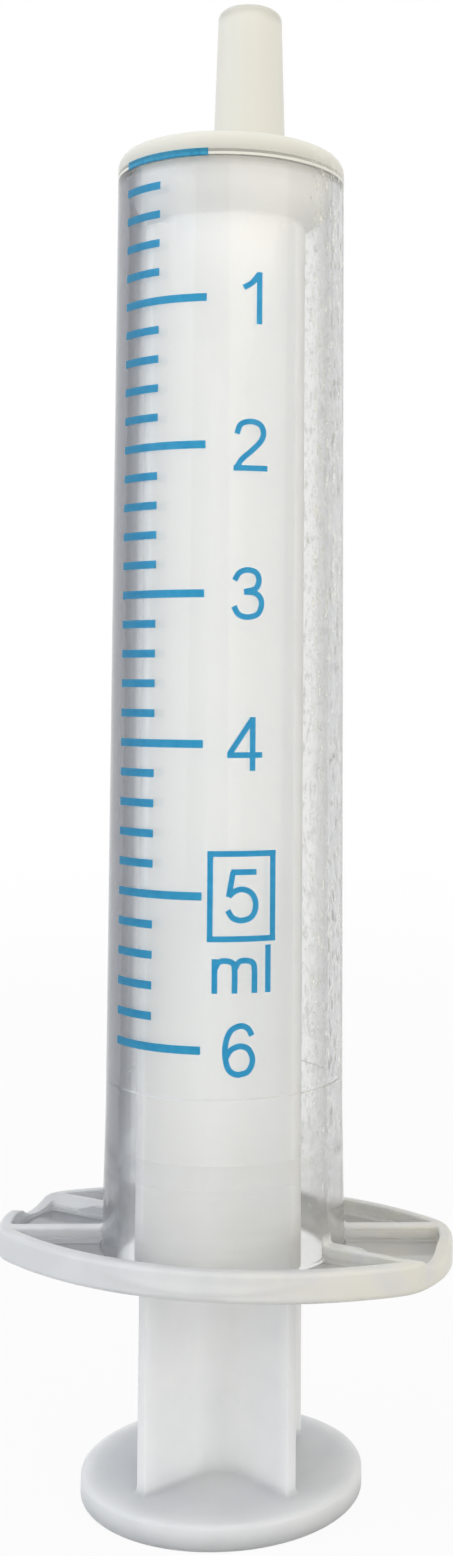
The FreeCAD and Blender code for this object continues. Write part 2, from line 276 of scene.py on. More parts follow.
def clear_polypropylene(settings):
    """Clear homopolymer polypropylene, injection moulded against polished steel.

    Thin walls are glossy and clear, and darker where light crosses them at a slant. Thick parts
    cool slowly and turn milky, which the mesh attribute frost says point by point. Painted shade
    darkens the wall on one side, and the attribute shade marks painted shade round the mouth.
    """
    material, tree, output = new_material("clear_moulded_polypropylene")
    place = add_node(tree, "TexCoord").outputs["Object"]
    height = add_node(tree, "SeparateXYZ", Vector=place)
    frost = add_node(tree, "Attribute", {"attribute_name": "frost"}).outputs["Fac"]
    side = add_node(tree, "VectorMath", {"operation": "DOT_PRODUCT"}, _0=place, _1=SCUFF_AND_SHADE_AXIS)

    # Clear wall: painted shade darkens one side, and the wall is darker at a slant, most on that shaded
    # side
    slant = add_node(tree, "LayerWeight", Blend=0.5)
    edge = add_node(tree, "MapRange", {"interpolation_type": "SMOOTHSTEP"},
                    Value=slant.outputs["Facing"], From_Min=0.38, From_Max=0.58)
    # More of the slant darkening falls on the side opposite the scuffs, as painted shade
    shade_lean = add_node(tree, "MapRange", Value=side, From_Min=-5.5 * MM, From_Max=5.5 * MM, To_Min=1.0,
                    To_Max=0.5)
    slanting = add_node(tree, "Math", MULTIPLY, _0=edge, _1=shade_lean)
    # Painted shade: the side opposite the scuffs gets the darker tint
    deep = add_node(tree, "MapRange", Value=side, From_Min=-5.15 * MM, From_Max=-5.35 * MM)
    face = add_node(tree, "Mix", COLOURS, _0=deep, _6=settings.tint, _7=settings.painted_shade_tint)
    wall = add_node(tree, "Mix", COLOURS, _0=slanting, _6=face, _7=settings.edge_tint)

    # Mouth: painted shade, dark only where light enters the wall from the bore
    shade = add_node(tree, "Attribute", {"attribute_name": "shade"})
    surface = add_node(tree, "NewGeometry")
    entering = add_node(tree, "Math", {"operation": "SUBTRACT"}, _0=1.0,
                        _1=surface.outputs["Backfacing"])
    dark = add_node(tree, "Math", MULTIPLY, _0=shade.outputs["Fac"], _1=entering)
    wall = add_node(tree, "Mix", COLOURS, _0=dark, _6=wall, _7=settings.mouth_painted_shade)

    # Milky parts: clouded at the flange, warmer towards +X as painted warm light, and warmer towards the
    # nozzle
    climb = add_node(tree, "MapRange", Value=height.outputs["Z"], From_Min=20 * MM, From_Max=78 * MM)
    # Painted warm light: the flange's milk is warmer towards +X
    across = add_node(tree, "MapRange", Value=height.outputs["X"], From_Min=-2 * MM, From_Max=11 * MM)
    low_milk_and_warm_light = add_node(tree, "Mix", COLOURS, _0=across, _6=settings.flange_milk,
                        _7=settings.flange_warm_light)
    flow = add_node(tree, "TexNoise", Vector=place, Scale=1 / FLOW_CLOUD, Detail=3.0)
    cloud = add_node(tree, "MapRange", Value=flow, From_Min=0.32, From_Max=0.58)
    cloudy = add_node(tree, "Mix", COLOURS, _0=cloud, _6=settings.flange_deep, _7=low_milk_and_warm_light)
    milk = add_node(tree, "Mix", COLOURS, _0=climb, _6=cloudy, _7=settings.nozzle_milk)

    # Handling marks: fine pale scuffs, drawn out along the barrel, on the side that rubs in the pack
    drawn = add_node(tree, "VectorMath", MULTIPLY, _0=place, _1=(1.0, 1.0, SCUFF_WIDTH / SCUFF_LENGTH))
    fleck = add_node(tree, "TexNoise", Vector=drawn, Scale=1 / SCUFF_WIDTH, Detail=4.0, Roughness=0.7)
    sharp = add_node(tree, "MapRange", Value=fleck, From_Min=0.56, From_Max=0.68)
    beside = add_node(tree, "MapRange", Value=side, From_Min=4.5 * MM, From_Max=4.8 * MM)
    above = add_node(tree, "MapRange", Value=height.outputs["Z"], From_Min=15.5 * MM, From_Max=20 * MM)
    rubbed = add_node(tree, "Math", MULTIPLY, _0=beside, _1=above)
    scuff = add_node(tree, "Math", MULTIPLY, _0=sharp, _1=rubbed)

    # Haze of both kinds hides the clear wall, stops light and roughens the gloss
    haze = add_node(tree, "Math", MULTIPLY_ADD, _0=scuff, _1=settings.scuffs, _2=frost)
    cover = add_node(tree, "MapRange", Value=haze, From_Max=0.3)
    tone = add_node(tree, "Mix", COLOURS, _0=cover, _6=wall, _7=milk)
    clear = add_node(tree, "MapRange", Value=haze, To_Min=1.0 - settings.haze, To_Max=0.0)
    rough = add_node(tree, "MapRange", Value=haze, To_Min=settings.roughness, To_Max=0.45)
    grain = add_node(tree, "Math", MULTIPLY_ADD, _0=scuff, _1=0.3, _2=flow)
    bump = add_node(tree, "Bump", Strength=0.08, Distance=0.02 * MM, Height=grain)
    shader = add_node(tree, "BsdfPrincipled", Base_Color=tone, IOR=1.49, Roughness=rough,
                      Transmission_Weight=clear, Normal=bump)

    # Milky parts hold a little of the lamps' light back
    open_wall = add_node(tree, "Math", MULTIPLY_ADD, _0=frost, _1=-0.3, _2=1.0)
    pass_lamplight(tree, shader, open_wall, output)
    return material


def white_polyethylene(settings):
    """White high-density polyethylene, injection moulded: soft sheen, and light spreads inside it.

    Painted shade greys the foot, and painted light pales the stem upwards, towards its axis and at the
    head.
    """
    material, tree, output = new_material("white_moulded_polyethylene")
    place = add_node(tree, "TexCoord").outputs["Object"]
    cloud = add_node(tree, "TexNoise", Vector=place, Scale=1 / PLUNGER_CLOUD, Detail=4.0)
    height = add_node(tree, "SeparateXYZ", Vector=place).outputs["Z"]
    # Painted shade and light: greyer at the foot, paler up the stem
    climb = add_node(tree, "MapRange", Value=height, From_Min=10 * MM, From_Max=20 * MM, To_Min=0.0,
                     To_Max=0.8)
    level = add_node(tree, "VectorMath", MULTIPLY, _0=place, _1=(1.0, 1.0, 0.0))
    reach = add_node(tree, "VectorMath", {"operation": "LENGTH"}, _0=level)
    # Painted light: paler towards the axis, lifting the shade between the ribs
    core_painted_light = add_node(tree, "MapRange", Value=reach, From_Min=1.5 * MM, From_Max=5.0 * MM, To_Min=0.27,
                    To_Max=0.0)
    painted_light_gradient = add_node(tree, "Math", {"operation": "ADD"}, _0=climb, _1=core_painted_light)
    # Random cloud added to the painted light
    pale = add_node(tree, "Math", {**MULTIPLY_ADD, "use_clamp": True}, _0=cloud, _1=0.4, _2=painted_light_gradient)
    body = add_node(tree, "Mix", COLOURS, _0=pale, _6=settings.tint, _7=settings.pale_lit_tint)
    # Painted light: the head lighter than the stem
    top = add_node(tree, "MapRange", Value=height, From_Min=73.4 * MM, From_Max=74.4 * MM)
    tone = add_node(tree, "Mix", COLOURS, _0=top, _6=body, _7=settings.head_painted_light_tint)
    grain = add_node(tree, "TexNoise", Vector=place, Scale=1 / MOULD_GRAIN, Detail=2.0)
    bump = add_node(tree, "Bump", Strength=0.15, Distance=0.02 * MM, Height=grain)
    shader = add_node(tree, "BsdfPrincipled", Base_Color=tone, IOR=1.54, Roughness=settings.roughness,
                      Subsurface_Weight=1.0, Subsurface_Radius=(1.0, 0.95, 0.9),
                      Subsurface_Scale=6.0 * MM, Normal=bump)
    tree.links.new(shader.outputs["BSDF"], output.inputs["Surface"])
    return material


def blue_ink(settings):
    """Blue pad-printing ink, cured on the barrel: a thin even film with slightly mottled cover.

    It is see-through, so it looks deeper over the wall's dark edge, and its shadow stays faint.
    """
    material, tree, output = new_material("blue_pad_printed_ink")
    place = add_node(tree, "TexCoord").outputs["Object"]
    mottle = add_node(tree, "TexNoise", Vector=place, Scale=1 / INK_MOTTLE, Detail=3.0)
    tone = add_node(tree, "Mix", COLOURS, _0=mottle, _6=settings.ink, _7=settings.thin_ink)
    shader = add_node(tree, "BsdfPrincipled", Base_Color=tone, Roughness=0.45, IOR=1.3,
                      Transmission_Weight=0.8)
    pass_lamplight(tree, shader, 0.8, output)
    return material


def matt_floor(settings):
    """Matt white board: it keeps the object's shadow, and turns into the white backdrop with distance."""
    material, tree, output = new_material("matt_white_floor")
    board = add_node(tree, "BsdfDiffuse", Color=settings.floor_tint)
    white = add_node(tree, "Emission", Color=(1, 1, 1, 1), Strength=1.0)
    place = add_node(tree, "TexCoord").outputs["Object"]
    away = add_node(tree, "VectorMath", {"operation": "LENGTH"}, _0=place)
    fade = add_node(tree, "MapRange", {"interpolation_type": "SMOOTHSTEP"}, Value=away, From_Min=0.04,
                    From_Max=0.4, To_Min=settings.floor_white, To_Max=1.0)
    whitened = add_node(tree, "Math", MULTIPLY, _0=seen_rays(tree), _1=fade)
    mixed = add_node(tree, "MixShader", _0=whitened, _1=board, _2=white)
    tree.links.new(mixed.outputs["Shader"], output.inputs["Surface"])
    return material


def white_room(settings):
    """A world that is plain white to look at and lights the object evenly."""
    world = bpy.data.worlds.new("soft_white_room")
    world.use_nodes = True
    tree = world.node_tree
    tree.nodes.clear()
    strength = add_node(tree, "Mix", {"data_type": "FLOAT"}, _0=seen_rays(tree), _2=settings.sky, _3=1.0)
    background = add_node(tree, "Background", Color=(1, 1, 1, 1), Strength=strength)
    output = tree.nodes.new("ShaderNodeOutputWorld")
    tree.links.new(background.outputs["Background"], output.inputs["Surface"])
    return world


def new_object(name, data):
    """An object of the scene that holds the data."""
    item = bpy.data.objects.new(name, data)
    bpy.context.scene.collection.objects.link(item)
    return item


def new_piece(name, build, material):
    """Turns a bmesh into a mesh object of the scene, with its faces turned outwards."""
    bmesh.ops.recalc_face_normals(build, faces=build.faces)
    mesh = bpy.data.meshes.new(name)
    build.to_mesh(mesh)
    build.free()
    mesh.materials.append(material)
    return new_object(name, mesh)


def sleeve(name, rings, closed, material, finish=None):
    """A smooth mesh of quads between rings of equal count.

    Closed joins the last ring to the first, and otherwise the ends are capped. Finish holds
    mesh attributes by name, each with a value for each point of each ring.
    """
    build = bmesh.new()
    finish = finish or {}
    for attribute in finish:
        build.verts.layers.float.new(attribute)
    rows = [[build.verts.new(point) for point in ring] for ring in rings]
    count = len(rings[0])
    for attribute, values in finish.items():
        layer = build.verts.layers.float[attribute]
        for row, row_values in zip(rows, values):
            for vert, value in zip(row, row_values):
                vert[layer] = value
    pairs = list(zip(rows, rows[1:]))
    if closed:
        pairs.append((rows[-1], rows[0]))
    for upper, lower in pairs:
        for index in range(count):
            after = (index + 1) % count
            build.faces.new((upper[index], upper[after], lower[after], lower[index]))
    if not closed:
        for row in (rows[0], rows[-1]):
            middle = build.verts.new(sum((vert.co for vert in row), Vector()) / count)
            for index in range(count):
                build.faces.new((row[index], row[(index + 1) % count], middle))
    for face in build.faces:
        face.smooth = True
    piece = new_piece(name, build, material)
    weighted = piece.modifiers.new("even_normals", "WEIGHTED_NORMAL")
    weighted.weight = 100
    weighted.keep_sharp = False
    return piece


def spoke(turn):
    """The level direction at an angle round the axis."""
    return Vector((math.cos(turn), math.sin(turn)))


def polar(radius, turn, z, centre_y=0.0):
    """The point at a radius, an angle and a height, round an upright axis at centre_y."""
    return Vector((radius * math.cos(turn), centre_y + radius * math.sin(turn), z))


def arc(radius, z, reach, start, end, steps):
    """Points of an arc as radius and height, both ends included. Its angles run outwards from upright."""
    turns = [math.radians(start + (end - start) * step / steps) for step in range(steps + 1)]
    return [(radius + reach * math.sin(turn), z + reach * math.cos(turn)) for turn in turns]


class FlangeOutline:
    """The flange's outline of side, end and corner arcs, as a radius for an angle and an inset."""

    def __init__(self, barrel):
        self.barrel = barrel
        self.side = Vector((0, FLANGE_WIDTH / 2 - barrel.side_radius))
        self.end = Vector((FLANGE_LENGTH / 2 - barrel.end_radius, 0))
        reach_side = barrel.side_radius - barrel.corner_radius
        reach_end = barrel.end_radius - barrel.corner_radius
        apart = self.end - self.side
        span = apart.length
        along = (reach_side ** 2 - reach_end ** 2 + span ** 2) / (2 * span)
        across = math.sqrt(reach_side ** 2 - along ** 2)
        foot = self.side + apart * (along / span)
        normal = Vector((-apart.y, apart.x)) * (across / span)
        self.corner = max((foot + normal, foot - normal), key=lambda point: point.x)

    def radius(self, turn, inset):
        """Distance from the axis to the outline, moved in by the inset, at an angle."""
        way = Vector((abs(math.cos(turn)), abs(math.sin(turn))))
        corner_reach = self.barrel.corner_radius - inset
        side_point = self.corner + (self.corner - self.side).normalized() * corner_reach
        end_point = self.corner + (self.corner - self.end).normalized() * corner_reach
        slope = math.atan2(way.y, way.x)
        if slope > math.atan2(side_point.y, side_point.x):
            centre, reach = self.side, self.barrel.side_radius - inset
        elif slope < math.atan2(end_point.y, end_point.x):
            centre, reach = self.end, self.barrel.end_radius - inset
        else:
            centre, reach = self.corner, corner_reach
        ahead = way.dot(centre)
        return ahead + math.sqrt(ahead ** 2 - centre.length_squared + reach ** 2)


class Column:
    """One line of the barrel's mesh, out over the flange. Rise is how far up a rib it lies, from 0 to 1."""

    def __init__(self, outline, foot_radius, foot_turn, edge_turn, rise):
        self.outline = outline
        self.turn = foot_turn
        self.edge_turn = edge_turn
        self.rise = rise
        self.foot = spoke(foot_turn) * foot_radius
        edge = spoke(edge_turn) * outline.radius(edge_turn, 0)
        self.way = (edge - self.foot).normalized()

    def at_radius(self, radius):
        """The point of the line at a distance from the axis."""
        ahead = self.way.dot(self.foot)
        step = -ahead + math.sqrt(ahead ** 2 - self.foot.length_squared + radius ** 2)
        return self.foot + self.way * step

    def at_inset(self, inset):
        """The point of the line where the outline, moved in by the inset, crosses it."""
        turn = self.edge_turn
        for _ in range(6):
            point = self.at_radius(self.outline.radius(turn, inset))
            turn = math.atan2(point.y, point.x)
        return point


def wall_steps(round_top, round_foot, height):
    """Offsets and heights, as a share, of a moulded wall with rounded top and foot, from the top out."""
    draft = 0.03 * MM
    steps = arc(-round_top, height - round_top, round_top, 0, 90, 4)
    steps += arc(draft + round_foot, round_foot, round_foot, 270, 180, 4)
    return [(offset, level / height) for offset, level in steps]


def flange_columns(barrel, foot_radius):
    """The columns round the barrel, close together at the ribs' edges."""
    outline = FlangeOutline(barrel)
    height = barrel.flange_height - barrel.flange_floor
    half = barrel.rib_width / 2
    edge = [(half + offset, rise) for offset, rise in wall_steps(RIM_ROUND, 0.12 * MM, height)]
    profile = [(-offset, rise) for offset, rise in reversed(edge)] + [(0.0, 1.0)] + edge
    groups = []
    for turn in (barrel.rib_angle, math.pi - barrel.rib_angle,
                 math.pi + barrel.rib_angle, 2 * math.pi - barrel.rib_angle):
        way = spoke(turn)
        normal = Vector((-way.y, way.x))
        group = []
        for offset, rise in profile:
            foot_turn = turn + math.asin(offset / foot_radius)
            edge_turn = turn
            for _ in range(6):
                reach = outline.radius(edge_turn, 0)
                point = normal * offset + way * math.sqrt(reach ** 2 - offset ** 2)
                edge_turn = turn + math.asin(offset / point.length)
            group.append((foot_turn, edge_turn, rise))
        groups.append(group)
    columns = []
    spacing = math.radians(1.7)
    for index, group in enumerate(groups):
        columns += group
        start = group[-1]
        finish = groups[(index + 1) % len(groups)][0]
        wrap = 2 * math.pi if index == len(groups) - 1 else 0.0
        count = max(2, round((finish[0] + wrap - start[0]) / spacing))
        for step in range(1, count):
            part = step / count
            foot_turn = start[0] + (finish[0] + wrap - start[0]) * part
            edge_turn = start[1] + (finish[1] + wrap - start[1]) * part
            columns.append((foot_turn, edge_turn, 0.0))
    return [Column(outline, foot_radius, *column) for column in columns]


def wall_radius(barrel, z):
    """Outside radius of the drafted wall at a height."""
    shoulder_low = NOZZLE_Z - barrel.nozzle_length - barrel.shoulder_radius
    flare_z = MOUTH_Z + barrel.flange_height + barrel.flare_height
    part = (shoulder_low - z) / (shoulder_low - flare_z)
    return barrel.bore_radius + barrel.wall_at_top + (barrel.wall_at_foot - barrel.wall_at_top) * part


class BarrelSkin:
    """The barrel's one closed skin, ring by ring: down the outside to the mouth, and back up inside.

    Each point has its frost, which is how milky the plastic is there, and its shade, which is painted shade
    round the mouth.
    """

    def __init__(self, barrel):
        self.barrel = barrel
        self.rings, self.frost, self.shade = [], [], []
        self.shoulder_z = NOZZLE_Z - barrel.nozzle_length
        self.cone_low = self.shoulder_z + NOZZLE_FILLET
        self.fillet_radius = self.cone_radius(self.cone_low) + NOZZLE_FILLET
        self.end_z = self.shoulder_z - barrel.end_wall
        self.rim_z = MOUTH_Z + barrel.flange_height
        self.low_radius = barrel.bore_radius + barrel.wall_at_foot
        self.foot_radius = self.low_radius + FOOT_FLARE
        self.relief_radius = barrel.bore_radius + RELIEF_DEPTH
        self.mouth_radius = self.relief_radius + LEAD_IN
        self.columns = flange_columns(barrel, self.foot_radius)
        self.nozzle()
        self.shoulder()
        self.wall()
        self.flange_top()
        self.flange_underside()
        self.mouth()
        self.bore()
        self.fluid_way()

    def add(self, ring, frost, shade=0.0):
        self.rings.append(ring)
        self.frost.append(frost if isinstance(frost, list) else [frost] * len(ring))
        self.shade.append([shade] * len(ring))

    def circle(self, radius, z, frost, centre_y=0.0, shade=0.0):
        self.add([polar(radius, column.turn, z, centre_y) for column in self.columns], frost, shade)

    def circles(self, points, frost, centre_y=0.0, shade=0.0):
        for radius, z in points:
            self.circle(radius, z, frost, centre_y, shade)

    def at_inset(self, inset):
        return [column.at_inset(inset) for column in self.columns]

    def cone_radius(self, z):
        return self.barrel.nozzle_end_radius + (NOZZLE_Z - z) * self.barrel.luer_slope

    def nozzle(self):
        """Rounded end, luer cone and the small fillet at its foot."""
        frost = self.barrel.nozzle_frost
        offset = self.barrel.nozzle_offset
        edge_z = NOZZLE_Z - NOZZLE_TIP_ROUND
        tip = arc(self.cone_radius(edge_z) - NOZZLE_TIP_ROUND, edge_z, NOZZLE_TIP_ROUND, 0, 90, 6)
        self.circles(tip, frost * 0.75, offset)
        for part in (0.03, 0.12, 0.3, 0.6, 0.97):
            z = edge_z + (self.cone_low - edge_z) * part
            self.circle(self.cone_radius(z), z, frost, offset)
        self.circles(arc(self.fillet_radius, self.cone_low, NOZZLE_FILLET, -90, -180, 5), frost, offset)

    def shoulder(self):
        """Flat from the nozzle's foot to the rounded edge, which is a little clearer."""
        round_radius = self.barrel.shoulder_radius
        flat_radius = self.barrel.bore_radius + self.barrel.wall_at_top - round_radius
        for part in (0.03, 0.35, 0.7, 0.97):
            radius = self.fillet_radius + (flat_radius - self.fillet_radius) * part
            self.circle(radius, self.shoulder_z, 0.95, self.barrel.nozzle_offset * (1 - part))
        low_z = self.shoulder_z - round_radius
        for radius, z in arc(flat_radius, low_z, round_radius, 0, 90, 10):
            self.circle(radius, z, 0.75 + 0.2 * (z - low_z) / round_radius)

    def wall(self):
        """The milky line where the end wall meets the drafted wall, the wall, and its flare."""
        line_z = self.end_z - 0.1 * MM
        bands = [(0.3, self.barrel.nozzle_frost * 0.75), (0.27, 0.25), (0.12, 0.25), (0.1, 0.9),
                 (-0.03, 0.9), (-0.05, 0.0)]
        for above, frost in bands:
            z = line_z + above * MM
            self.circle(wall_radius(self.barrel, z), z, frost)
        flare_z = self.rim_z + self.barrel.flare_height
        for part in (0.1, 0.25, 0.4, 0.55, 0.7, 0.85, 1.0):
            z = line_z + (flare_z - line_z) * part
            self.circle(wall_radius(self.barrel, z), z, 0.0)
        for part in (0.25, 0.5, 0.75, 0.95):
            z = flare_z + (self.rim_z + FOOT_ROUND - flare_z) * part
            self.circle(self.low_radius + FOOT_FLARE * part, z, 0.5 * max(0.0, part - 0.5))

    def rim_level(self, point):
        """Height of the rim at a point, less where an end has its hollow."""
        barrel = self.barrel
        side = 1 if point.x > 0 else -1
        across = abs(point.y + side * barrel.scallop_offset)
        near_end = abs(point.x) >= (self.low_radius + FLANGE_LENGTH / 2) / 2
        if not near_end or across >= barrel.scallop_width / 2:
            return self.rim_z
        reach = (barrel.scallop_width ** 2 / 4 + barrel.scallop_depth ** 2) / (2 * barrel.scallop_depth)
        return self.rim_z - barrel.scallop_depth + reach - math.sqrt(reach ** 2 - across ** 2)

    def over_flange(self, points, share_of_rim, drop=0.0):
        """A ring over the flange's floor and ribs, raised by a share towards the rim, less the drop."""
        barrel = self.barrel
        ring, frost = [], []
        for column, point in zip(self.columns, points):
            height = 1 - (1 - share_of_rim) * (1 - column.rise)
            level = MOUTH_Z + barrel.flange_floor + (barrel.flange_height - barrel.flange_floor) * height
            ring.append(Vector((point.x, point.y, min(level, self.rim_level(point)) - drop)))
            frost.append(barrel.flange_frost * (0.15 + 0.85 * height))
        self.add(ring, frost)

    def flange_top(self):
        """Fillet at the wall's foot, floor with ribs, inner side of the rim, and rim."""
        barrel = self.barrel
        start_radius = self.foot_radius + FOOT_ROUND
        for radius, lift in arc(start_radius, FOOT_ROUND, FOOT_ROUND, 270, 180, 5):
            self.over_flange([column.at_radius(radius) for column in self.columns], 0.0, -lift)
        inner_side = wall_steps(RIM_ROUND, 0.07 * MM, barrel.flange_height - barrel.flange_floor)
        last_inset = barrel.rim_wall + inner_side[-1][0]
        for part in (0.06, 0.35, 0.65, 0.94):
            self.over_flange([column.at_radius(start_radius).lerp(column.at_inset(last_inset), part)
                              for column in self.columns], 0.0)
        for offset, height in reversed(inner_side):
            self.over_flange(self.at_inset(barrel.rim_wall + offset), height)
        edge = barrel.edge_radius
        self.over_flange(self.at_inset((edge + barrel.rim_wall - RIM_ROUND) / 2), 1.0)
        for inset, drop in arc(edge, edge, edge, 180, 270, 6):
            self.over_flange(self.at_inset(inset), 1.0, drop)

    def under_flange(self, points, z):
        self.add([Vector((point.x, point.y, z)) for point in points], self.barrel.flange_frost)

    def flange_underside(self):
        """Outer side, lower edge and flat underside, in to the mouth."""
        edge = self.barrel.edge_radius
        self.under_flange(self.at_inset(0.0), MOUTH_Z + edge * 1.1)
        for inset, z in arc(edge, MOUTH_Z + edge, edge, 270, 180, 6):
            self.under_flange(self.at_inset(inset), z)
        for part in (0.03, 0.3, 0.6, 0.97):
            self.under_flange([column.at_inset(edge).lerp(spoke(column.turn) * self.mouth_radius, part)
                               for column in self.columns], MOUTH_Z)

    def mouth(self):
        """Lead-in and painted shade low in the mouth, then the relief with its retaining bead."""
        radius = self.relief_radius
        # The shade values are painted shade on the lead-in and the lowest bore
        self.circles(arc(self.mouth_radius, MOUTH_Z + LEAD_IN, LEAD_IN, 180, 270, 6), 0.1, shade=0.9)
        self.circle(radius, MOUTH_Z + 2.3 * MM, 0.0, shade=0.9)
        self.circle(radius, MOUTH_Z + 2.7 * MM, 0.0)
        bead_z = MOUTH_Z + 5.4 * MM
        bead_height = 1.3 * MM
        bead_steps = 12
        self.circles([(radius, MOUTH_Z + 3.0 * MM), (radius, bead_z - 0.1 * MM)], 0.05)
        for step in range(bead_steps + 1):
            depth = self.barrel.bead_depth * (1 - math.cos(2 * math.pi * step / bead_steps)) / 2
            self.circle(radius - depth, bead_z + bead_height * step / bead_steps, 0.16)
        self.circle(radius, bead_z + bead_height + 0.1 * MM, 0.05)

    def bore(self):
        """The milky step from the relief to the bore, the bore and the end wall's inner side."""
        bore_radius = self.barrel.bore_radius
        step_z = MOUTH_Z + 10.4 * MM
        soft = 0.004 * MM
        steps = [(self.relief_radius, -0.16, 0.0), (self.relief_radius, -0.1, 0.0),
                 (self.relief_radius - soft, -0.09, 0.9), (bore_radius + soft, -0.01, 0.9),
                 (bore_radius, 0.0, 0.0), (bore_radius, 0.06, 0.0)]
        for radius, above, frost in steps:
            self.circle(radius, step_z + above * MM, frost)
        corner = 0.15 * MM
        inner_radius = bore_radius - corner
        for part in (0.25, 0.5, 0.75, 0.99):
            self.circle(bore_radius, step_z + (self.end_z - corner - step_z) * part, 0.0)
        self.circles(arc(inner_radius, self.end_z - corner, corner, 90, 0, 4), 0.2)
        for part in (0.02, 0.35, 0.7, 0.97):
            radius = inner_radius + (self.barrel.channel_radius - inner_radius) * part
            self.circle(radius, self.end_z, 0.3, self.barrel.nozzle_offset * part)

    def fluid_way(self):
        """The fluid way, which opens at the tip."""
        radius = self.barrel.channel_radius
        flare = 0.25 * MM
        points = [(radius, self.end_z + 0.05 * MM), (radius, self.shoulder_z),
                  (radius, NOZZLE_Z - 2 * flare), (radius + 0.02 * MM, NOZZLE_Z - flare),
                  (radius + flare, NOZZLE_Z - 0.02 * MM), (radius + 1.2 * flare, NOZZLE_Z)]
        self.circles(points, 0.4, self.barrel.nozzle_offset)


def cross_radius_at(plunger, turn, outset, rib_reach):
    """Distance from the axis to the bare cross of ribs, grown by the outset, at an angle."""
    local = (turn - plunger.turn + math.pi / 4) % (math.pi / 2) - math.pi / 4
    slope = abs(local)
    half = plunger.rib_width / 2 + outset
    reach = rib_reach + outset
    edge = 0.1 * MM
    way = spoke(slope)
    if slope < math.atan2(half - edge, reach):
        return reach / math.cos(slope)
    if slope < math.atan2(half, reach - edge):
        centre = Vector((reach - edge, half - edge))
        ahead = way.dot(centre)
        return ahead + math.sqrt(max(0.0, ahead ** 2 - centre.length_squared + edge ** 2))
    root = plunger.root_radius - outset
    root_centre = Vector((1, 1)) * (plunger.rib_width / 2 + plunger.root_radius)
    if slope < math.atan2(half, root_centre.x):
        return half / math.sin(slope)
    ahead = way.dot(root_centre)
    return ahead - math.sqrt(max(0.0, ahead ** 2 - root_centre.length_squared + root ** 2))


def stem_radius_at(plunger, turn, outset, rib_reach=None, fill=0.0):
    """Distance from the axis to the stem, with the hollows between its ribs filled up towards the neck."""
    bare = cross_radius_at(plunger, turn, outset, rib_reach or plunger.rib_radius)
    return bare + fill * max(0.0, plunger.neck_radius - bare)


def plunger_turns(plunger):
    """Angles of the plunger's columns, close together at the ribs' ends."""
    end_slope = math.degrees(math.atan2(plunger.rib_width / 2, plunger.rib_radius))
    steps = [part * end_slope for part in (0.0, 0.55, 0.8, 0.88, 0.94, 1.0, 1.05, 1.2, 1.5, 2.0)]
    steps += [9.5, 12.5, 15.5, 18.5, 21.5, 24.5, 27.0, 30.0, 33.0, 36.0, 39.0, 42.0]
    around = steps + [45.0] + [90.0 - step for step in reversed(steps[1:])]
    return [plunger.turn + math.radians(90 * rib + step) for rib in range(4) for step in around]


